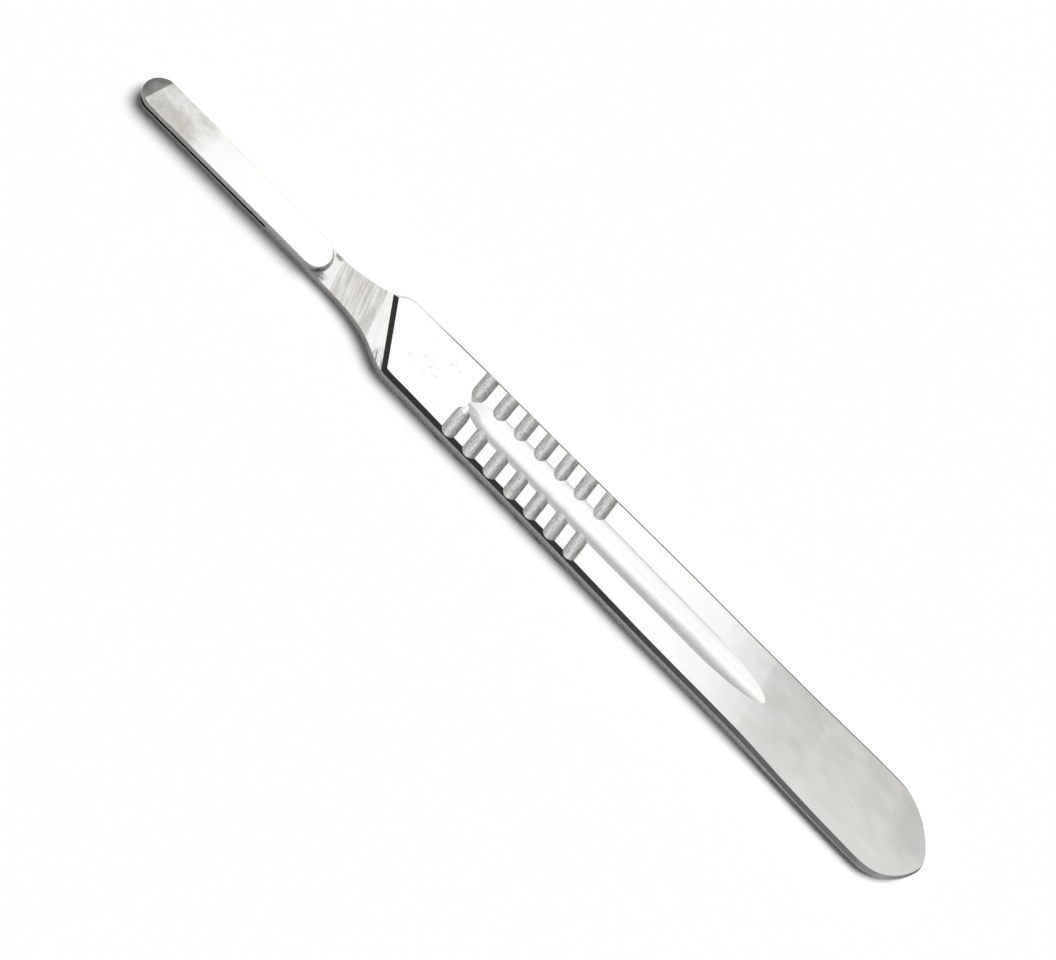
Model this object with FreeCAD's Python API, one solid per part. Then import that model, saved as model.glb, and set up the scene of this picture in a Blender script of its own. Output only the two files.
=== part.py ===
import FreeCAD, Part
import math
import os

# Scalpel handle with a large blade fitting, millimetres.
# X runs along the handle from the tongue tip at -X to the tail at +X, Y across it, Z up.
# Along the handle, the tongue is measured from its tip, and what lies behind it, from the seat
# to the tail, is measured from the rear end of the tongue.
# The handle lies on its back face at Z = 0, with the face that takes the blade on top.

# Overall sizes
overall_length = 137.3
body_thickness = 2.4

# Edge bevel that runs round the top of the body and down the shoulder
bevel_height = 0.6
bevel_width = 0.5

# Smaller bevel round the back
back_bevel_height = 0.3
back_bevel_width = 0.16

# Tongue that carries the blade
tongue_width = 4.2
tongue_thickness = 2.25
tongue_length = 28.05
tongue_edge = 0.1
nose_length = 1.6
nose_turn = 12.0
nose_drop = 0.45

# Grooves for the edges of the blade slot
groove_width = 0.48
groove_depth = 0.65
groove_floor = 1.03
groove_length = 20.2
groove_end_radius = 4.0

# Wall at the rear end of the tongue and the fillet at its foot
rear_wall_lean = 22.0
rear_fillet = 0.5
rear_foot_gap = 0.08

# Ground seat behind the tongue: a level strip, a rise that runs askew, and a level strip
# to the foot of the shoulder; both strips are measured along the middle line
seat_height = 1.45
seat_turn = 14.0
seat_front_strip = 1.6
seat_rear_strip = 1.8
neck_start = 1.45
tongue_root = 2.95

# Shoulder line, where the raised body starts
shoulder_left = (7.8, 3.4)
shoulder_right = (12.67, -4.86)

# Neck sides up to the shoulder: distance and half width, left is +Y and right is -Y
neck_left = [(3.15, 2.25), (5.55, 2.69)]
neck_right = [(3.55, 2.18), (5.55, 2.39), (8.15, 3.0), (10.05, 3.79), (11.55, 4.51)]

# Corner of the raised body on each side, then the body sides that both share
corner_left = [(8.95, 4.28), (9.75, 4.66), (10.85, 4.84)]
corner_right = [(16.55, 4.99)]
body_side = [(21.95, 5.12), (31.95, 5.24), (47.95, 5.54), (59.95, 5.81), (74.95, 5.95), (84.95, 6.31)]
tail_half_width = 6.67
tail_side_radius = 10.2
tail_end_radius = 2.8

# Long slope of the top face
slope_start = 31.95
slope_end = 63.95
slope_drop = 0.2

# Step down to the thin tail, on both faces, and the taper that follows it
step_start = 74.95
step_end = 85.95
top_step_drop = 0.35
back_step_drop = 0.55
tail_drop = 0.15

# Fuller, the leaf shaped hollow along the middle of each face
fuller_half_width = 1.9
fuller_depth = 0.55
fuller_front = 22.9
fuller_entry = 5.0
fuller_straight_end = 63.95
fuller_end = 76.65
back_fuller_depth = 0.4

# Flutes, the finger grooves of the grip
flute_count = 7
flute_first = 23.2
flute_pitch = 3.48
flute_width = 2.0
flute_depth = 0.45
back_flute_depth = 0.24
flute_nose = [(0.5, 0.12), (1.0, 0.5)]
flute_nose_length = 2.05

# Room that a cutter has beyond what it cuts
over = 1.0

half_tongue = tongue_width / 2
mid_top = body_thickness - bevel_height
mid_level = body_thickness / 2
body_length = overall_length - tongue_length


def at(x, y, z=0.0):
    return FreeCAD.Vector(x, y, z)


# Point measured from the rear end of the tongue
def behind(x, y, z=0.0):
    return at(tongue_length + x, y, z)


def line(a, b):
    return Part.makeLine(a, b)


def spline(points, start_tangent, end_tangent):
    curve = Part.BSplineCurve()
    curve.interpolate(points, InitialTangent=start_tangent, FinalTangent=end_tangent)
    return curve.toShape()


def face_of(edges):
    return Part.Face(Part.Wire(Part.__sortEdges__(edges)))


def prism(edges, height):
    return face_of(edges).extrude(at(0, 0, height))


# Radius of the round cutter that leaves a hollow of this half width and depth
def cutter_radius(half_width, depth):
    return (half_width ** 2 + depth ** 2) / (2 * depth)


# Edges that run along the handle, round the upper or the lower rim of a plate
def rim_edges(plate, upper):
    rim = []
    for edge in plate.Edges:
        middle = edge.CenterOfMass
        if edge.BoundBox.XLength > tongue_edge and (middle.z > mid_level) == upper:
            rim.append(edge)
    return rim


# Plan of the tail: two side arcs and a small end arc, all tangent
def tail_arcs():
    centre_x = overall_length - tail_end_radius
    side_y = tail_half_width - tail_side_radius
    gap = tail_side_radius - tail_end_radius
    side_x = centre_x - math.sqrt(gap ** 2 - side_y ** 2)
    touch_x = centre_x + tail_end_radius * (centre_x - side_x) / gap
    touch_y = -tail_end_radius * side_y / gap
    turn = math.atan2(touch_y - side_y, touch_x - side_x)
    middle = (math.pi / 2 + turn) / 2
    mid_x = side_x + tail_side_radius * math.cos(middle)
    mid_y = side_y + tail_side_radius * math.sin(middle)
    edges = []
    for side in (1, -1):
        a = at(side_x, side * tail_half_width)
        b = at(mid_x, side * mid_y)
        c = at(touch_x, side * touch_y)
        edges.append(Part.Arc(a, b, c).toShape())
    tip = at(overall_length, 0)
    edges.append(Part.Arc(at(touch_x, touch_y), tip, at(touch_x, -touch_y)).toShape())
    return side_x, edges


def points_on(side, pairs):
    return [behind(x, side * y) for x, y in pairs]


# Edges of one side: the neck up to the shoulder foot, the corner and the body
def side_edges(side, neck, foot, corner, tail_x):
    start = [behind(neck_start, side * half_tongue)] + points_on(side, neck) + [behind(*foot)]
    turn = [behind(*foot)] + points_on(side, corner)
    rest = turn[-1:] + points_on(side, body_side) + [at(tail_x, side * tail_half_width)]
    sweep = (start[-1] - start[-2]).normalize() + (turn[1] - turn[0]).normalize()
    run = rest[1] - rest[0]
    return [spline(start, at(1, 0), sweep), spline(turn, sweep, run), spline(rest, run, at(1, 0))]


# Solid mirrored through the middle plane, to work on the back face
def on_back(solid):
    return solid.mirror(at(0, 0, mid_level), at(0, 0, 1))


def with_foot_bevel(plate):
    return plate.makeChamfer(back_bevel_height, back_bevel_width, rim_edges(plate, False))


# Plate of the neck and body, shaped along its length and then bevelled
def body_plate():
    tail_x, edges = tail_arcs()
    edges += side_edges(1, neck_left, shoulder_left, corner_left, tail_x)
    edges += side_edges(-1, neck_right, shoulder_right, corner_right, tail_x)
    for side in (1, -1):
        y = side * half_tongue
        edges.append(line(behind(0, y), behind(neck_start, y)))
    edges.append(line(behind(0, -half_tongue), behind(0, half_tongue)))
    plate = prism(edges, body_thickness)
    plate = plate.cut([slope_cutter(), step_cutter(slope_drop, top_step_drop)])
    plate = plate.cut(on_back(step_cutter(0, back_step_drop)))
    plate = with_foot_bevel(plate)
    return plate.makeChamfer(bevel_height, bevel_width, rim_edges(plate, True))


# Space in front of the slanted shoulder face, above the level at its foot
def shoulder_cutter():
    foot = behind(*shoulder_left)
    along = (behind(*shoulder_right) - foot).normalize()
    across = at(-along.y, along.x)
    reach = overall_length
    section = [
        (-reach, mid_top),
        (0, mid_top),
        (bevel_width * (1 + over / bevel_height), body_thickness + over),
        (-reach, body_thickness + over),
    ]
    points = []
    for n, z in section:
        points.append(foot + across * n - along * reach + at(0, 0, z))
    return Part.Face(Part.makePolygon(points + points[:1])).extrude(along * 2 * reach)


def tongue_block():
    r = half_tongue
    edges = [
        Part.Arc(at(r, r), at(0, 0), at(r, -r)).toShape(),
        line(at(r, r), behind(tongue_root, r)),
        line(at(r, -r), behind(tongue_root, -r)),
        line(behind(tongue_root, -r), behind(tongue_root, r)),
    ]
    block = with_foot_bevel(prism(edges, tongue_thickness))
    return block.makeChamfer(tongue_edge, rim_edges(block, True))


# The sloped cap at the front end of the tongue top
def nose_cutter():
    top = tongue_thickness
    points = [
        at(-over, 0, top - nose_drop * (1 + over / nose_length)),
        at(nose_length, 0, top),
        at(nose_length, 0, top + over),
        at(-over, 0, top + over),
    ]
    solid = Part.Face(Part.makePolygon(points + points[:1])).extrude(at(0, 2 * tongue_width, 0))
    solid.translate(at(0, -tongue_width, 0))
    solid.rotate(at(nose_length, 0, 0), at(0, 0, 1), -nose_turn)
    return solid


# One blade groove, as a small disc saw travelling along the side would leave it
def groove_cutter(side):
    inner = half_tongue - groove_depth
    outer = half_tongue + over
    r = groove_end_radius
    run_out = math.sqrt(r ** 2 - (r - groove_depth) ** 2)
    stop = groove_length - run_out
    half_angle = math.acos((r - groove_depth) / r) / 2
    mid = at(stop + r * math.sin(half_angle), side * (inner + r * (1 - math.cos(half_angle))))
    edges = [
        line(at(-over, side * inner), at(stop, side * inner)),
        Part.Arc(at(stop, side * inner), mid, at(groove_length, side * half_tongue)).toShape(),
        line(at(groove_length, side * half_tongue), at(groove_length, side * outer)),
        line(at(groove_length, side * outer), at(-over, side * outer)),
        line(at(-over, side * outer), at(-over, side * inner)),
    ]
    cutter = prism(edges, groove_width)
    cutter.translate(at(0, 0, groove_floor))
    return cutter


# Rear end of the tongue: round in plan, leaning wall, fillet at the foot
def rear_end():
    r = half_tongue
    lean = math.radians(rear_wall_lean)
    foot = seat_height - rear_foot_gap
    wall_top = tongue_thickness - tongue_edge
    bend_z = foot + rear_fillet * (1 - math.sin(lean))
    bend_r = r + (wall_top - bend_z) * math.tan(lean)
    centre_r = bend_r + rear_fillet * math.cos(lean)
    half_lean = (math.pi / 2 + lean) / 2
    mid_r = centre_r - rear_fillet * math.cos(half_lean)
    mid_z = foot + rear_fillet * (1 - math.sin(half_lean))
    top = tongue_thickness + over
    edges = [
        line(at(0, 0, 0), at(0, 0, top)),
        line(at(0, 0, top), at(r - tongue_edge, 0, top)),
        line(at(r - tongue_edge, 0, top), at(r - tongue_edge, 0, tongue_thickness)),
        line(at(r - tongue_edge, 0, tongue_thickness), at(r, 0, wall_top)),
        line(at(r, 0, wall_top), at(bend_r, 0, bend_z)),
        Part.Arc(at(bend_r, 0, bend_z), at(mid_r, 0, mid_z), at(centre_r, 0, foot)).toShape(),
        line(at(centre_r, 0, foot), at(centre_r, 0, 0)),
        line(at(centre_r, 0, 0), at(0, 0, 0)),
    ]
    solid = face_of(edges).revolve(at(0, 0, 0), at(0, 0, 1), 360)
    solid.translate(at(tongue_length - r, 0, 0))
    return solid


# Space above the front strip and the rise, extruded askew from its side view
def seat_cutter():
    reach = overall_length
    top = body_thickness + over
    left_x, left_y = shoulder_left
    right_x, right_y = shoulder_right
    shoulder_middle = left_x + (right_x - left_x) * left_y / (left_y - right_y)
    rise_end = shoulder_middle - seat_rear_strip
    points = [
        behind(-reach, 0, seat_height),
        behind(seat_front_strip, 0, seat_height),
        behind(rise_end, 0, mid_top),
        behind(rise_end, 0, top),
        behind(-reach, 0, top),
    ]
    turn = math.radians(seat_turn)
    along = at(math.sin(turn), -math.cos(turn)) * reach
    block = Part.Face(Part.makePolygon(points + points[:1])).extrude(along * 2)
    block.translate(along * -1)
    front = Part.makeBox(reach, 2 * reach, 2 * reach, at(tongue_length - half_tongue - reach, -reach, -reach))
    return block.cut(front).cut(rear_end())


# Solid above a falling line, given as distance and drop from the face
def falling_cutter(profile):
    top = body_thickness
    poles = [behind(x, 0, top - drop) for x, drop in profile]
    curve = Part.BezierCurve()
    curve.setPoles(poles[:-1])
    high = top + over
    edges = [
        curve.toShape(),
        line(poles[-2], poles[-1]),
        line(poles[-1], at(poles[-1].x, 0, high)),
        line(at(poles[-1].x, 0, high), at(poles[0].x, 0, high)),
        line(at(poles[0].x, 0, high), poles[0]),
    ]
    solid = face_of(edges).extrude(at(0, 4 * tail_half_width, 0))
    solid.translate(at(0, -2 * tail_half_width, 0))
    return solid


# Long slope of the top face from the grip towards the tail
def slope_cutter():
    third = (slope_end - slope_start) / 3
    end_x = body_length + over
    return falling_cutter([
        (slope_start, 0),
        (slope_start + third, 0),
        (slope_end - third, slope_drop),
        (slope_end, slope_drop),
        (end_x, slope_drop),
    ])


# Step down to the thin tail, below a face that already lies face_drop deep
def step_cutter(face_drop, step_drop):
    third = (step_end - step_start) / 3
    fall = tail_drop / (body_length - step_end)
    low = face_drop + step_drop
    return falling_cutter([
        (step_start, face_drop),
        (step_start + third, face_drop),
        (step_end - third, low - fall * third),
        (step_end, low),
        (body_length + over, low + tail_drop + fall * over),
    ])


# Fuller cutter: a long spindle turned about an axis above the face
def fuller_cutter(depth, face_drop):
    r = cutter_radius(fuller_half_width, depth)
    skin = r - depth
    end_skin = skin + face_drop
    entry_end = fuller_front + fuller_entry
    entry_mid = fuller_front + fuller_entry / 2
    tail_mid = (fuller_straight_end + fuller_end) / 2
    full = r + face_drop
    entry_r = r - (r - skin) / 4
    tail_r = full - (full - end_skin) / 4
    edges = [
        Part.Arc(at(fuller_front, skin), at(entry_mid, entry_r), at(entry_end, r)).toShape(),
        line(at(entry_end, r), at(fuller_straight_end, full)),
        Part.Arc(at(fuller_straight_end, full), at(tail_mid, tail_r), at(fuller_end, end_skin)).toShape(),
        line(at(fuller_end, end_skin), at(fuller_end, 0)),
        line(at(fuller_end, 0), at(fuller_front, 0)),
        line(at(fuller_front, 0), at(fuller_front, skin)),
    ]
    solid = face_of(edges).revolve(at(0, 0, 0), at(1, 0, 0), 360)
    solid.translate(behind(0, 0, body_thickness + skin))
    return solid


# One flute cutter: a round finger with a drawn out nose that points at the middle line
def flute_cutter(side, depth):
    r = cutter_radius(flute_width / 2, depth)
    skin = r - depth
    reach = tail_half_width + over
    nose = [at(0, 0, skin)]
    for y, share in flute_nose:
        nose.append(at(0, y, skin + share * depth))
    nose.append(at(0, flute_nose_length, r))
    edges = [
        spline(nose, at(0, 1, 0), at(0, 1, 0)),
        line(at(0, flute_nose_length, r), at(0, reach, r)),
        line(at(0, reach, r), at(0, reach, 0)),
        line(at(0, reach, 0), at(0, 0, 0)),
        line(at(0, 0, 0), at(0, 0, skin)),
    ]
    solid = face_of(edges).revolve(at(0, 0, 0), at(0, 1, 0), 360)
    solid.translate(at(0, 0, body_thickness + skin))
    if side < 0:
        solid = solid.mirror(at(0, 0, 0), at(0, 1, 0))
    return solid


def flute_cutters(depth):
    cutters = []
    for side in (1, -1):
        finger = flute_cutter(side, depth)
        for i in range(flute_count):
            cutter = finger.copy()
            cutter.translate(behind(flute_first + i * flute_pitch, 0))
            cutters.append(cutter)
    return cutters


def handle():
    blank = body_plate().cut(shoulder_cutter())
    blank = blank.fuse(tongue_block())
    blank = blank.cut([seat_cutter(), nose_cutter(), groove_cutter(1), groove_cutter(-1)])
    blank = blank.cut([fuller_cutter(fuller_depth, slope_drop)] + flute_cutters(flute_depth))
    back_cutters = [fuller_cutter(back_fuller_depth, 0)] + flute_cutters(back_flute_depth)
    blank = blank.cut([on_back(cutter) for cutter in back_cutters])
    blank = blank.removeSplitter()
    blank.translate(at(-overall_length / 2, 0, 0))
    return blank.Solids[0]


os.makedirs("parts", exist_ok=True)
scalpel_handle = handle()
scalpel_handle.exportStep("parts/scalpel_handle.step")
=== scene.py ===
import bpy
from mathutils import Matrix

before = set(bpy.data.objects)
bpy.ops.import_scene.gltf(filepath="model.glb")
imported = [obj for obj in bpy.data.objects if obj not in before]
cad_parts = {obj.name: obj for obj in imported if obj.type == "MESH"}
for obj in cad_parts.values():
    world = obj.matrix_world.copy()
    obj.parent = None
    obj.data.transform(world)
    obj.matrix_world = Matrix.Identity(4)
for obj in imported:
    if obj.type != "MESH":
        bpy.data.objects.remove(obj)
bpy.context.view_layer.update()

from types import SimpleNamespace

import bpy
from mathutils import Matrix, Vector

# Lengths are in millimetres unless said otherwise, and X is measured from the tongue's tip,
# which lies at TIP_X in the frame. A fade is (from, to), from 0 before to 1 after, or
# (from, to, value before, value after).
MM = 0.001
PER_METRE = 1000.0
TIP_X = -68.65

# Camera: its place, its three directions, and its focal length in pixels of the frame
CAMERA_AT = (22.85275804, -82.28841826, 157.18310498)
CAMERA_RIGHT = (0.68805342, 0.55648141, 0.46573697)
CAMERA_DOWN = (0.69113884, -0.69814236, -0.18688057)
CAMERA_FORWARD = (0.22115514, 0.45047273, -0.86496516)
CAMERA_CLIP = (0.01, 20.0)
FOCAL_PIXELS = 1500.0
FRAME_WIDTH = 1056.0
SENSOR_WIDTH = 36.0

# Lamp: the direction it shines from, its width as an angle, its strength
LAMP_FROM = (0.12, 0.22, 0.57)
LAMP_ANGLE = 0.8
LAMP_STRENGTH = 3.14

# Light that reaches matt surfaces from all round
AMBIENT = 0.12

# Floor, in metres: half its side, and how far out it turns to pure white
FLOOR_REACH = 3.0
FLOOR_FADE = (0.09, 0.3)
FLOOR_COLOUR = (0.96, 0.96, 0.96, 1.0)
WHITE = (1.0, 1.0, 1.0, 1.0)

# Softbox overhead as the steel mirrors it, by x / z and y / z of the direction
SOFTBOX_LEFT = (-0.12, -0.085)
SOFTBOX_RIGHT = (0.52, 0.45)
SOFTBOX_FRONT = (-0.72, -0.5)
SOFTBOX_BACK = (1.7, 1.1)
SOFTBOX_LEVEL = 1.16

# Room round the softbox: lighter above, darker low down towards the front and the tongue
LOWEST_Z = 0.02
DARK_TOWARD = (-0.55, -0.6)
HORIZON = (0.05, 0.42, 0.5, 0.15)
HORIZON_TOP = (0.34, 0.6)
LEFT_WALL = (-1.0, -0.15, 0.25, 0.8)
RIGHT_WALL = (0.42, 0.64, 0.95, 0.6)
WALLS_MEET = (-0.1, 0.2)
FRONT_SHADE = (-0.8, -0.45, 0.5, 1.0)

# Seat between the tongue and the slanted shoulder
FACING_UP = (0.9, 0.95)
SHOULDER_X = 37.85
SHOULDER_SLANT = -0.59
SHOULDER_FADE = (0.05, -0.05)
SEAT_START = (25.9, 26.0)
SEAT_TOP = (1.9, 1.86)
SEAT_RISE = (-0.02, -0.04)

# Flutes of the grip, on both faces, and the lands between them
THICKNESS = 2.4
GRIP_START = (49.9, 50.1)
GRIP_END = (73.6, 73.4)
FLUTE_FIRST = 51.25
FLUTE_PITCH = 3.48
FLUTE_EDGE = (1.06, 1.0)
FLUTE_INNER_END = (1.15, 1.3)
FLUTE_STEEPEST = (0.4, 0.33)
FLUTE_BELOW_FACE = (1.193, 1.18)
# Steep flute walls, which get painted shade
RIM_SLOPE = (0.8, 0.68)
LAND_LEVEL = (0.99, 0.995)
LAND_INNER_END = (1.7, 1.9)

# Walls, and the bevels by their slope and the side that they face; the bevels and shoulder
# take painted dark reflection, the walls a duller finish darkened further with painted shade
WALL_SLOPE = (0.35, 0.15)
BEVEL_SIDE = (0.25, 0.35)
BEVEL_STEEPEST = (0.45, 0.55)
BEVEL_FLATTEST = (0.76, 0.72)
BEVEL_START = (35.0, 36.0)
TAIL_ROUND = (120.0, 126.0)
NEAR_SIDE = (0.2, 0.0)
FAR_CORNER = (40.0, 47.0, 0.15, 1.0)
FAR_SIDE = (0.3, 0.5)
TAIL_TIP = (130.0, 134.0)
# Painted dark reflection on the bevels lightens towards the tail
BEVEL_LIGHTENS = (68.0, 108.0)

# Wall at the rear of the tongue, and the blade grooves in its sides, both darkened with
# painted shade
REAR_WALL_START = (25.9, 26.1)
REAR_WALL_END = (29.5, 29.0)
REAR_WALL_FOOT = (1.5, 1.6)
REAR_WALL_SLOPE = (0.85, 0.5)
GROOVE_INSIDE = (2.09, 2.05)
GROOVE_END = (20.4, 20.2)
GROOVE_MIDDLE = 1.27
GROOVE_HALF_WIDTH = (0.3, 0.26)

# Nose facet at the tip of the tongue, darkened towards the tip with painted shade
NOSE_SLOPE = (-0.15, -0.22)
NOSE_LEVEL = (0.9, 0.94)
NOSE_END = (2.5, 2.3)
NOSE_SHADE = (1.5, 0.2, 0.0, 0.75)
NOSE_SWAY = 0.6

# Fuller: a spindle surface turned about an axis above the face
FULLER_HALF_WIDTH = 1.9
FULLER_DEPTH = 0.55
FULLER_DROP = 0.2
FULLER_ENTRY = 5.0
FULLER_STRAIGHT = (55.95, 92.0)
FULLER_LEAF = 12.7
FULLER_RADIUS = (FULLER_HALF_WIDTH ** 2 + FULLER_DEPTH ** 2) / (2 * FULLER_DEPTH)
FULLER_AXIS_Z = THICKNESS + FULLER_RADIUS - FULLER_DEPTH
FULLER_START = (50.9, 51.0)
FULLER_END = (104.8, 104.7)
FULLER_SKIN = (0.02, 0.0)
FULLER_LEVEL = (0.5, 0.6)
FULLER_FLANK = (0.04, 0.12)

# Parts of the handle that are duller, and by how much
TAIL_START = (96.0, 112.0)
TONGUE_FRONT = (11.5, 8.5)
TONGUE_FRONT_SWAY = 3.0
DULL_TAIL = 0.5
DULL_TONGUE = 0.95
DULL_ALL = 0.05

# Textures: scale per millimetre along X, Y and Z, detail, roughness, and turn about Z
TEXTURES = {
    "grain": ((0.3, 11.0, 11.0), 4.0, 0.65, 0.0),
    "speck": ((4.5, 4.5, 4.5), 3.0, 0.6, 0.0),
    "cloud": ((0.22, 0.4, 0.4), 4.0, 0.6, 0.0),
    "wave": ((0.22, 0.4, 0.4), 1.0, 0.4, 0.0),
    "ground": ((5.2, 0.22, 1.0), 3.0, 0.75, -0.31),
    "coarse": ((0.9, 0.35, 1.0), 3.0, 0.6, -0.31),
    "cuts": ((6.4, 0.6, 1.2), 3.0, 0.8, 0.05),
    "grit": ((7.5, 2.6, 3.0), 2.0, 0.7, 0.05),
    "scores": ((0.1, 6.0, 6.0), 2.0, 0.5, 0.06),
    "nicks": ((3.6, 1.5, 2.0), 4.0, 0.75, 0.9),
    "blot": ((1.4, 1.4, 1.4), 4.0, 0.65, 0.0),
    "lines": ((5.0, 0.5, 1.0), 3.0, 0.7, -0.5),
}

# Fades of the textures where they colour or roughen the steel
CLOUDY = (0.7, 0.34)
CUT_LINES = (0.42, 0.6, 0.35, 1.0)
CUT_GRIT = (0.4, 0.6, 0.35, 1.0)
RIM_SPECKS = (0.25, 0.6, 0.45, 0.9)
LAND_CUTS = (0.46, 0.7, 0.03, 0.35)
WALL_SPECKS = (0.3, 0.7, 0.75, 1.0)
SCORE_LINES = (0.68, 0.76)
SCORE_COLOURS = (0.68, 0.76, 0.0, 0.22)
GRAIN_ROUGHENS = (0.3, 0.7, 0.1, 0.15)
CLOUD_ROUGHENS = (0.35, 0.7, 0.0, 0.1)

# Grinding marks on the seat and haze on the front of the tongue
FINE_STREAKS = (0.34, 0.68, 0.12, 0.8)
COARSE_STREAKS = (0.35, 0.7, 0.0, 0.25)
RISE_STREAKS = 0.75
SEAT_STREAKS = 0.3
HAZE_CLOUDS = (0.62, 0.4, 0.1, 0.6)
HAZE_BLOTS = (0.4, 0.65, 0.0, 0.25)

# Pits behind the shoulder, and a few elsewhere
PITTED_START = (40.0, 42.0)
PITTED_END = (50.0, 46.0)
PITTED_FACE = (2.37, 2.39)
PITTED_SHARE = 0.9
PITS_ALL = 0.08
PIT_NICKS = (0.56, 0.68)
PIT_CLOUDS = (0.5, 0.6)

# Painted shade line along the fuller's far border, behind the grip
BORDER_Y = 1.93
BORDER_HALF_WIDTH = (0.13, 0.03)
BORDER_START = (74.8, 76.0)
BORDER_END = (91.0, 86.0)
BORDER_BREAKS = (0.35, 0.6)

# Scratches low on the seat, a stain on the tail, painted shade at the foot of the tongue's
# rear:
# each spot has its centre and radius, and how far a texture sways its edge
SPOT_SHARE = (1.25, 0.6)
SCRATCHED = ((39.7, -3.9), 1.7)
SCRATCHED_SWAY = 0.8
SCRATCH_LINES = (0.46, 0.58)
STAINED = ((133.5, 3.0), 5.5)
STAINED_SWAY = 2.0
# Painted shade at the foot of the tongue's rear, on the near and the far side
RESIDUE_NEAR = ((27.5, -2.0), 1.35)
RESIDUE_NEAR_SWAY = (0.25, 0.75, 0.6, -0.6)
RESIDUE_FAR = ((28.5, 2.1), 0.6)
RESIDUE_FAR_SWAY = 0.3
RESIDUE_FAR_SHARE = 0.75
RESIDUE_TOP = (2.1, 1.9)
RESIDUE_LEVEL = (0.1, 0.3)
RESIDUE_SHARE = 0.85

# Colours of the steel, several of them painted shade and painted dark reflection, as marked
# below
POLISHED = (0.895, 0.891, 0.876, 1.0)
CLOUDED = (0.79, 0.776, 0.735, 1.0)
HAZED = (0.56, 0.545, 0.50, 1.0)
WARM = (0.81, 0.79, 0.745, 1.0)
CUT = (0.42, 0.41, 0.38, 1.0)
# Painted shade on the steep walls of the flutes
RIM = (0.3, 0.29, 0.27, 1.0)
LAND = (0.58, 0.57, 0.54, 1.0)
GRINDING = (0.52, 0.50, 0.465, 1.0)
# Colour of the pits, also used as painted shade on the nose facet
PIT = (0.36, 0.355, 0.34, 1.0)
SCORE = (0.55, 0.54, 0.52, 1.0)
# Painted dark reflection on the near bevels and the shoulder, towards the tongue and towards
# the tail
BEVEL_FRONT = (0.22, 0.2185, 0.214, 1.0)
BEVEL_REAR = (0.46, 0.456, 0.445, 1.0)
# Painted dark reflection on the far bevel, in the colour and as a greyer specular tint
BEVEL_FAR = (0.3, 0.298, 0.29, 1.0)
BEVEL_FAR_TINT = (0.4, 0.4, 0.4, 1.0)
# Sides: a duller finish, darkened further with painted shade
WALL = (0.31, 0.307, 0.297, 1.0)
# Painted shade on the rear wall of the tongue
REAR_WALL = (0.3, 0.297, 0.29, 1.0)
# Painted shade in the blade grooves
GROOVE = (0.16, 0.155, 0.15, 1.0)
STAIN = (0.66, 0.65, 0.62, 1.0)
# Painted shade along the fuller's far border
WORN = (0.42, 0.415, 0.40, 1.0)
SCRATCH = (0.2, 0.19, 0.17, 1.0)
# Painted shade at the foot of the tongue's rear
RESIDUE = (0.15, 0.145, 0.14, 1.0)

# Roughness that each place adds by its name, and how high each texture stands in the relief
ROUGHER = {"seat": 0.14, "flute": 0.28, "wall": 0.12, "residue": 0.2, "hollow": 0.14}
SEAT_RELIEF = 6.0
FLUTE_RELIEF = 6.0
WAVE_RELIEF = 11.0
SPECK_RELIEF = 0.6
PIT_RELIEF = -2.0
SCORE_RELIEF = -1.0
RELIEF_STRENGTH = 0.3
RELIEF_METRES = 0.000006
ROUNDING_METRES = 0.00005
ROUNDING_SAMPLES = 6

# Mix node: the places of its two values and its result, for each kind of value
MIX_SOCKETS = {"FLOAT": (2, 3, 0), "VECTOR": (4, 5, 1), "RGBA": (6, 7, 2)}


def make_camera():
    data = bpy.data.cameras.new("camera")
    data.sensor_width = SENSOR_WIDTH
    data.sensor_fit = "HORIZONTAL"
    data.lens = FOCAL_PIXELS / FRAME_WIDTH * SENSOR_WIDTH
    data.clip_start, data.clip_end = CAMERA_CLIP
    camera = bpy.data.objects.new("camera", data)
    place = Matrix.Identity(4)
    for row in range(3):
        place[row][0] = CAMERA_RIGHT[row]
        place[row][1] = -CAMERA_DOWN[row]
        place[row][2] = -CAMERA_FORWARD[row]
    x, y, z = CAMERA_AT
    place.translation = Vector(((x + TIP_X) * MM, y * MM, z * MM))
    camera.matrix_world = place
    bpy.context.scene.collection.objects.link(camera)
    bpy.context.scene.camera = camera


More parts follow.
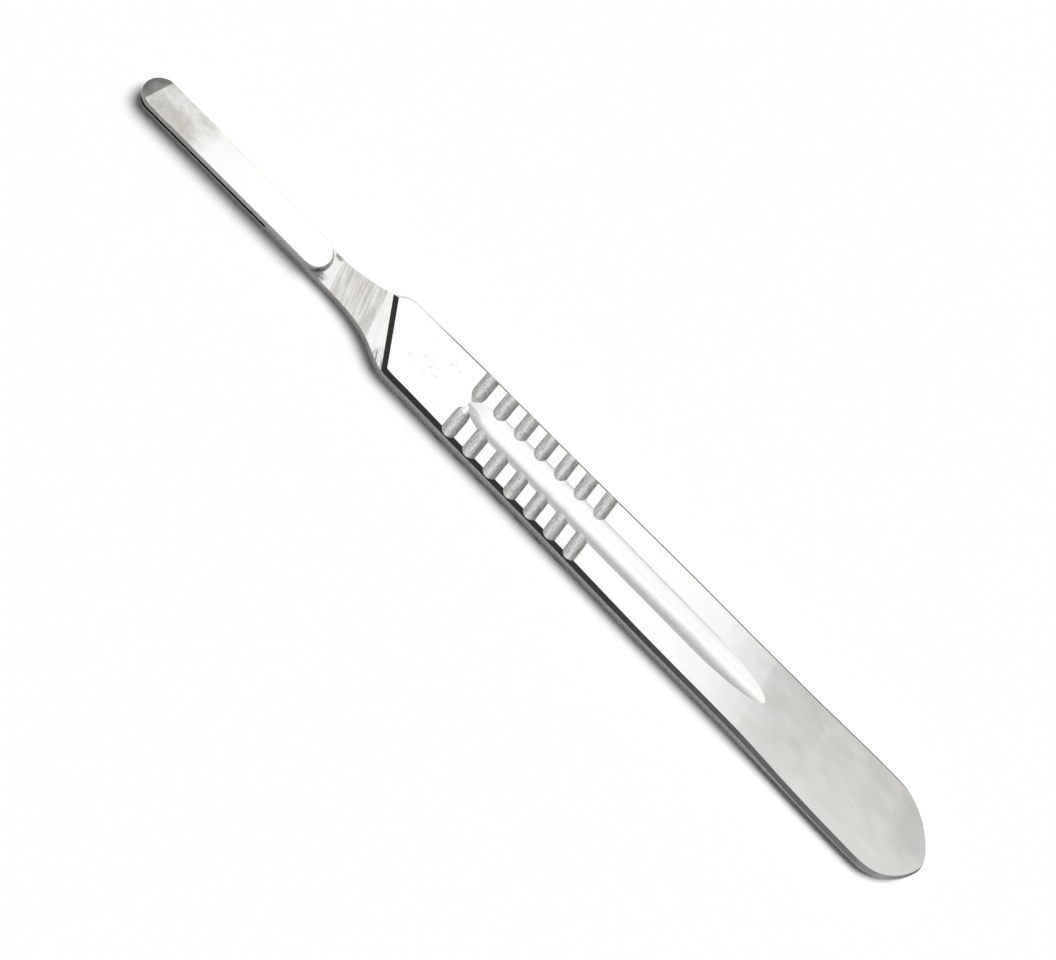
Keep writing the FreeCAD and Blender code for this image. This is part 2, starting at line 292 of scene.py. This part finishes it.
class Nodes:
    """Short calls to build a node tree."""

    def __init__(self, owner):
        owner.use_nodes = True
        self.tree = owner.node_tree
        self.tree.nodes.clear()

    def put(self, socket, value):
        if isinstance(value, bpy.types.NodeSocket):
            self.tree.links.new(value, socket)
        else:
            socket.default_value = value

    def add(self, kind, inputs=None, **fields):
        node = self.tree.nodes.new(kind)
        for name, value in fields.items():
            setattr(node, name, value)
        for name, value in (inputs or {}).items():
            self.put(node.inputs[name], value)
        return node

    def output(self, kind, shader):
        self.put(self.add(kind).inputs[0], shader)

    def math(self, operation, a, b=0.0, clamp=False):
        node = self.add("ShaderNodeMath", {0: a, 1: b}, operation=operation, use_clamp=clamp)
        return node.outputs[0]

    def minus(self, a, b, clamp=False):
        return self.math("SUBTRACT", a, b, clamp)

    def over(self, a, b, clamp=False):
        return self.math("DIVIDE", a, b, clamp)

    def size(self, a):
        return self.math("ABSOLUTE", a)

    def times(self, *parts):
        product = parts[0]
        for part in parts[1:]:
            product = self.math("MULTIPLY", product, part)
        return product

    def plus(self, *parts):
        total = parts[0]
        for part in parts[1:]:
            total = self.math("ADD", total, part)
        return total

    def length(self, a, b):
        return self.math("SQRT", self.plus(self.times(a, a), self.times(b, b)))

    def split(self, vector):
        return self.add("ShaderNodeSeparateXYZ", {"Vector": vector}).outputs

    def ramp(self, value, low, high, to_low=0.0, to_high=1.0):
        node = self.add("ShaderNodeMapRange", {
            "Value": value, "From Min": low, "From Max": high,
            "To Min": to_low, "To Max": to_high}, interpolation_type="SMOOTHSTEP")
        return node.outputs[0]

    def mix(self, kind, factor, a, b):
        at_a, at_b, result = MIX_SOCKETS[kind]
        node = self.add("ShaderNodeMix", {0: factor, at_a: a, at_b: b}, data_type=kind)
        return node.outputs[result]

    def scaled(self, vector, scale):
        return self.add("ShaderNodeMapping", {"Vector": vector, "Scale": scale}).outputs[0]

    def noise(self, vector, scale, detail, roughness, turn):
        if turn:
            vector = self.add("ShaderNodeMapping", {
                "Vector": vector, "Rotation": (0.0, 0.0, turn)}).outputs[0]
        node = self.add("ShaderNodeTexNoise", {
            "Vector": self.scaled(vector, scale), "Scale": 1.0,
            "Detail": detail, "Roughness": roughness})
        return node.outputs[0]

    def spot(self, x, y, centre, radius, sway):
        """Mask of a round place whose edge sways."""
        away = self.length(self.minus(x, centre[0]), self.minus(y, centre[1]))
        outer, inner = SPOT_SHARE
        return self.ramp(self.plus(away, sway), radius * outer, radius * inner)


def read_surface(n):
    """Place on the handle, and the way its surface faces there."""
    s = SimpleNamespace()
    coords = n.add("ShaderNodeTexCoord").outputs
    s.place = n.scaled(coords["Object"], (PER_METRE, PER_METRE, PER_METRE))
    middle_x, s.y, s.z = n.split(s.place)
    s.x = n.minus(middle_x, TIP_X)
    s.nx, s.ny, s.nz = n.split(coords["Normal"])
    s.wide = n.size(s.y)
    s.side = n.size(s.ny)
    s.flat = n.size(s.nz)
    s.up = n.ramp(s.nz, *FACING_UP)
    return s


def make_textures(n, s):
    for name, texture in TEXTURES.items():
        setattr(s, name, n.noise(s.place, *texture))


def find_fuller(n, s):
    """The fuller's surface, its flanks, and the true normal of the spindle there."""
    straight_start, straight_end = FULLER_STRAIGHT
    entry = n.over(n.minus(straight_start, s.x), FULLER_ENTRY, clamp=True)
    leaf = n.over(n.minus(s.x, straight_end), FULLER_LEAF, clamp=True)
    along = n.over(n.minus(s.x, straight_start), straight_end - straight_start, clamp=True)
    radius = n.plus(
        n.times(along, FULLER_DROP), n.times(entry, entry, -FULLER_DEPTH),
        n.times(leaf, leaf, -FULLER_DEPTH), FULLER_RADIUS)
    lift = n.minus(FULLER_AXIS_Z, s.z)
    reach = n.length(s.y, lift)
    s.fuller = n.times(
        n.ramp(n.minus(reach, radius), *FULLER_SKIN), n.ramp(s.nz, *FULLER_LEVEL),
        n.ramp(s.x, *FULLER_START), n.ramp(s.x, *FULLER_END))
    s.hollow = n.times(s.fuller, n.ramp(n.over(s.wide, reach), *FULLER_FLANK))
    entry_slope = n.times(entry, 2 * FULLER_DEPTH / FULLER_ENTRY)
    leaf_slope = n.times(leaf, -2 * FULLER_DEPTH / FULLER_LEAF)
    inward = n.add("ShaderNodeCombineXYZ", {
        "X": n.plus(entry_slope, leaf_slope),
        "Y": n.over(n.times(s.y, -1.0), reach),
        "Z": n.over(lift, reach)})
    s.inward = n.add(
        "ShaderNodeVectorTransform", {"Vector": inward.outputs[0]},
        vector_type="NORMAL", convert_from="OBJECT", convert_to="WORLD").outputs[0]


def find_places(n, s):
    """Masks of the handle's features, some of them for painted shade and painted dark
    reflection.
    """
    shoulder_x = n.plus(n.times(s.y, SHOULDER_SLANT), SHOULDER_X)
    s.seat = n.times(
        n.ramp(n.minus(s.x, shoulder_x), *SHOULDER_FADE), n.ramp(s.x, *SEAT_START),
        n.ramp(s.z, *SEAT_TOP), s.up)
    s.rise = n.times(s.seat, n.ramp(s.nx, *SEAT_RISE))

    find_fuller(n, s)
    from_flute = n.math("PINGPONG", n.minus(s.x, FLUTE_FIRST - FLUTE_PITCH), FLUTE_PITCH / 2)
    from_middle = n.size(n.minus(s.z, THICKNESS / 2))
    grip = n.times(n.ramp(s.x, *GRIP_START), n.ramp(s.x, *GRIP_END), n.minus(1.0, s.fuller))
    s.flute = n.times(
        grip, n.ramp(from_flute, *FLUTE_EDGE), n.ramp(s.wide, *FLUTE_INNER_END),
        n.ramp(s.side, *FLUTE_STEEPEST), n.ramp(from_middle, *FLUTE_BELOW_FACE))
    # Steep walls of the flutes, darkened with painted shade
    s.rim = n.times(s.flute, n.ramp(s.flat, *RIM_SLOPE), n.ramp(s.speck, *RIM_SPECKS))
    s.land = n.times(
        grip, n.minus(1.0, s.flute), n.ramp(s.flat, *LAND_LEVEL),
        n.ramp(s.wide, *LAND_INNER_END))

    # Sides, which are rougher and darkened with painted shade in the colour
    s.wall = n.ramp(s.flat, *WALL_SLOPE)
    # Bevels and shoulder, whose colour gets painted dark reflection
    sideways = n.math("MAXIMUM", n.ramp(s.side, *BEVEL_SIDE), n.ramp(s.x, *TAIL_ROUND))
    corner = n.math("MAXIMUM", n.ramp(s.ny, *NEAR_SIDE), n.ramp(s.x, *FAR_CORNER))
    s.bevel = n.times(
        sideways, n.ramp(s.flat, *BEVEL_STEEPEST), n.ramp(s.flat, *BEVEL_FLATTEST),
        n.ramp(s.x, *BEVEL_START), corner)
    # Far bevel, which gets painted dark reflection
    far = n.math("MAXIMUM", n.ramp(s.ny, *FAR_SIDE), n.ramp(s.x, *TAIL_TIP))
    s.far_bevel = n.times(s.bevel, far)

    # Rear wall of the tongue, darkened with painted shade
    s.rear_wall = n.times(
        n.ramp(s.x, *REAR_WALL_START), n.ramp(s.x, *REAR_WALL_END),
        n.ramp(s.z, *REAR_WALL_FOOT), n.ramp(s.flat, *REAR_WALL_SLOPE))
    # Blade grooves, darkened as recesses with painted shade
    from_groove = n.size(n.minus(s.z, GROOVE_MIDDLE))
    s.groove = n.times(
        n.ramp(s.wide, *GROOVE_INSIDE), n.ramp(s.x, *GROOVE_END),
        n.ramp(from_groove, *GROOVE_HALF_WIDTH))
    # Nose facet, picked by the way it faces, for painted shade
    s.nose = n.times(
        n.ramp(s.nx, *NOSE_SLOPE), n.ramp(s.flat, *NOSE_LEVEL), n.ramp(s.x, *NOSE_END),
        n.ramp(n.plus(s.x, n.times(s.blot, NOSE_SWAY)), *NOSE_SHADE))

    s.tail = n.ramp(s.x, *TAIL_START)
    swayed_x = n.plus(s.x, n.times(s.cloud, TONGUE_FRONT_SWAY))
    s.tongue_front = n.ramp(swayed_x, *TONGUE_FRONT)
    s.dull = n.plus(
        n.times(s.tail, DULL_TAIL), n.times(s.tongue_front, DULL_TONGUE), DULL_ALL)


def find_wear(n, s):
    """Masks of grinding marks, pits, scratches, a stain, and painted shade along the
    fuller's border and at the foot of the tongue's rear.
    """
    streaks = n.plus(n.ramp(s.ground, *FINE_STREAKS), n.ramp(s.coarse, *COARSE_STREAKS))
    s.grinding = n.times(
        n.plus(n.times(s.rise, RISE_STREAKS), n.times(s.seat, SEAT_STREAKS)), streaks)
    clouds = n.plus(n.ramp(s.cloud, *HAZE_CLOUDS), n.ramp(s.blot, *HAZE_BLOTS))
    s.haze = n.times(s.tongue_front, clouds)

    pitted = n.times(
        n.ramp(s.x, *PITTED_START), n.ramp(s.x, *PITTED_END), n.ramp(s.z, *PITTED_FACE))
    s.pits = n.times(
        n.plus(n.times(pitted, PITTED_SHARE), PITS_ALL), n.ramp(s.nicks, *PIT_NICKS),
        n.ramp(s.cloud, *PIT_CLOUDS))

    # Thin line of painted shade along the fuller's far border
    from_border = n.size(n.minus(s.y, BORDER_Y))
    s.border = n.times(
        n.ramp(from_border, *BORDER_HALF_WIDTH), n.ramp(s.x, *BORDER_START),
        n.ramp(s.x, *BORDER_END), n.ramp(s.blot, *BORDER_BREAKS), s.up)
    scratched = n.spot(s.x, s.y, *SCRATCHED, n.times(s.blot, SCRATCHED_SWAY))
    s.scratches = n.times(s.seat, scratched, n.ramp(s.lines, *SCRATCH_LINES))
    s.stain = n.spot(s.x, s.y, *STAINED, n.times(s.cloud, STAINED_SWAY))

    # Mottled painted shade at the foot of the tongue's rear
    sway = n.ramp(s.blot, *RESIDUE_NEAR_SWAY)
    near = n.spot(s.x, s.y, *RESIDUE_NEAR, sway)
    far = n.spot(s.x, s.y, *RESIDUE_FAR, n.times(sway, RESIDUE_FAR_SWAY))
    s.residue = n.times(
        n.plus(near, n.times(far, RESIDUE_FAR_SHARE)), n.ramp(s.z, *RESIDUE_TOP),
        n.ramp(s.nz, *RESIDUE_LEVEL), RESIDUE_SHARE)


def steel_colour(n, s):
    """The polished colour under its layers, the lowest first; some layers are painted shade,
    others painted dark reflection.
    """
    cut = n.times(s.flute, n.ramp(s.cuts, *CUT_LINES), n.ramp(s.grit, *CUT_GRIT))
    # Painted dark reflection on the bevels, lighter towards the tail
    bevel = n.mix("RGBA", n.ramp(s.x, *BEVEL_LIGHTENS), BEVEL_FRONT, BEVEL_REAR)
    layers = (
        # where it lies, how much it covers there, its colour
        (n.times(s.dull, n.ramp(s.cloud, *CLOUDY)), 1.0, CLOUDED),
        (s.haze, 1.0, HAZED),
        (s.tail, 0.35, WARM),
        (cut, 1.0, CUT),
        # painted shade on the steep flute walls
        (s.rim, 1.0, RIM),
        (n.times(s.land, n.ramp(s.cuts, *LAND_CUTS)), 1.0, LAND),
        (s.grinding, 1.0, GRINDING),
        (s.pits, 0.7, PIT),
        (n.times(n.ramp(s.scores, *SCORE_COLOURS), s.up), 1.0, SCORE),
        # painted dark reflection on the bevels and shoulder
        (s.bevel, 1.0, bevel),
        # painted dark reflection on the far bevel
        (s.far_bevel, 1.0, BEVEL_FAR),
        # duller sides, darkened further with painted shade
        (n.times(s.wall, n.ramp(s.speck, *WALL_SPECKS)), 1.0, WALL),
        # painted shade on the tongue's rear wall
        (s.rear_wall, 0.9, REAR_WALL),
        # painted shade in the blade grooves
        (s.groove, 0.9, GROOVE),
        # painted shade on the nose facet
        (s.nose, 1.0, PIT),
        (s.stain, 0.45, STAIN),
        # painted shade along the fuller's far border
        (s.border, 0.55, WORN),
        (s.scratches, 0.85, SCRATCH),
        # painted shade at the foot of the tongue's rear
        (s.residue, 1.0, RESIDUE),
    )
    colour = POLISHED
    for mask, cover, layer in layers:
        colour = n.mix("RGBA", n.times(mask, cover), colour, layer)
    return colour


def steel_roughness(n, s):
    clouds = n.times(s.dull, n.ramp(s.cloud, *CLOUD_ROUGHENS))
    rough = n.plus(n.ramp(s.grain, *GRAIN_ROUGHENS), clouds)
    for place, more in ROUGHER.items():
        rough = n.plus(rough, n.times(getattr(s, place), more))
    return rough


def steel_normal(n, s):
    """Rounded edges and the fuller's true normals, under the fine relief."""
    rounded = n.add("ShaderNodeBevel", {"Radius": ROUNDING_METRES}, samples=ROUNDING_SAMPLES)
    smooth = n.mix("VECTOR", s.fuller, rounded.outputs[0], s.inward)
    polished = n.minus(1.0, n.plus(s.seat, s.flute), clamp=True)
    relief = n.plus(
        n.times(s.grain, polished),
        n.times(s.seat, s.ground, SEAT_RELIEF),
        n.times(s.flute, s.cuts, FLUTE_RELIEF),
        n.times(s.wave, WAVE_RELIEF),
        n.times(s.speck, SPECK_RELIEF),
        n.times(s.pits, PIT_RELIEF),
        n.times(n.ramp(s.scores, *SCORE_LINES), SCORE_RELIEF))
    bump = n.add("ShaderNodeBump", {
        "Height": relief, "Strength": RELIEF_STRENGTH, "Distance": RELIEF_METRES,
        "Normal": smooth})
    return bump.outputs[0]


def make_steel():
    material = bpy.data.materials.new("satin_steel")
    n = Nodes(material)
    s = read_surface(n)
    make_textures(n, s)
    find_places(n, s)
    find_wear(n, s)
    shader = n.add("ShaderNodeBsdfPrincipled", {
        "Base Color": steel_colour(n, s), "Metallic": 1.0,
        "Roughness": steel_roughness(n, s), "Normal": steel_normal(n, s),
        # Painted dark reflection on the far bevel, through a greyer specular tint
        "Specular Tint": n.mix("RGBA", s.far_bevel, WHITE, BEVEL_FAR_TINT)})
    n.output("ShaderNodeOutputMaterial", shader.outputs[0])
    return material


def make_floor():
    """Plain floor that keeps the handle's shadow and is pure white further out."""
    r = FLOOR_REACH
    mesh = bpy.data.meshes.new("floor")
    corners = [(-r, -r, 0.0), (r, -r, 0.0), (r, r, 0.0), (-r, r, 0.0)]
    mesh.from_pydata(corners, [], [(0, 1, 2, 3)])
    floor = bpy.data.objects.new("floor", mesh)
    bpy.context.scene.collection.objects.link(floor)
    material = bpy.data.materials.new("floor_white")
    n = Nodes(material)
    path = n.add("ShaderNodeLightPath").outputs
    mirrored = n.plus(path["Is Camera Ray"], path["Is Glossy Ray"])
    seen = n.math("ADD", mirrored, path["Is Transmission Ray"], clamp=True)
    distance = n.add("ShaderNodeVectorMath", {
        0: n.add("ShaderNodeTexCoord").outputs["Object"]}, operation="LENGTH")
    share = n.ramp(distance.outputs["Value"], *FLOOR_FADE)
    diffuse = n.add("ShaderNodeBsdfDiffuse", {"Color": FLOOR_COLOUR})
    glow = n.add("ShaderNodeEmission", {"Color": WHITE, "Strength": 1.0})
    both = n.add("ShaderNodeMixShader", {
        0: n.times(seen, share), 1: diffuse.outputs[0], 2: glow.outputs[0]})
    n.output("ShaderNodeOutputMaterial", both.outputs[0])
    mesh.materials.append(material)


def make_world():
    """White to the camera, even to matt surfaces, and a studio room to the steel."""
    world = bpy.data.worlds.new("studio")
    bpy.context.scene.world = world
    n = Nodes(world)
    x, y, z = n.split(n.add("ShaderNodeTexCoord").outputs["Generated"])
    above = n.math("MAXIMUM", z, LOWEST_Z)
    across = n.over(x, above)
    along = n.over(y, above)
    softbox = n.times(
        n.ramp(across, *SOFTBOX_LEFT), n.ramp(across, *SOFTBOX_RIGHT),
        n.ramp(along, *SOFTBOX_FRONT), n.ramp(along, *SOFTBOX_BACK))

    dark_x, dark_y = DARK_TOWARD
    horizon = n.ramp(n.plus(n.times(x, dark_x), n.times(y, dark_y)), *HORIZON)
    walls = n.mix(
        "FLOAT", n.ramp(across, *WALLS_MEET), n.ramp(across, *LEFT_WALL),
        n.ramp(along, *RIGHT_WALL))
    overhead = n.times(walls, n.ramp(along, *FRONT_SHADE))
    room = n.mix("FLOAT", n.ramp(z, *HORIZON_TOP), horizon, overhead)
    studio = n.mix("FLOAT", softbox, room, SOFTBOX_LEVEL)

    path = n.add("ShaderNodeLightPath").outputs
    mirrored = n.math("ADD", path["Is Glossy Ray"], path["Is Transmission Ray"], clamp=True)
    level = n.mix("FLOAT", mirrored, AMBIENT, studio)
    level = n.math("MAXIMUM", level, path["Is Camera Ray"])
    light = n.add("ShaderNodeBackground", {"Color": WHITE, "Strength": level})
    n.output("ShaderNodeOutputWorld", light.outputs[0])


def make_lamp():
    data = bpy.data.lights.new("key", "SUN")
    data.angle = LAMP_ANGLE
    data.energy = LAMP_STRENGTH
    lamp = bpy.data.objects.new("key", data)
    lamp.rotation_euler = (-Vector(LAMP_FROM)).to_track_quat("-Z", "Y").to_euler()
    lamp.visible_glossy = False
    bpy.context.scene.collection.objects.link(lamp)


bpy.context.scene.view_settings.view_transform = "Standard"
make_camera()
make_floor()
make_world()
make_lamp()

steel = make_steel()
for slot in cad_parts["scalpel_handle"].material_slots:
    slot.material = steel
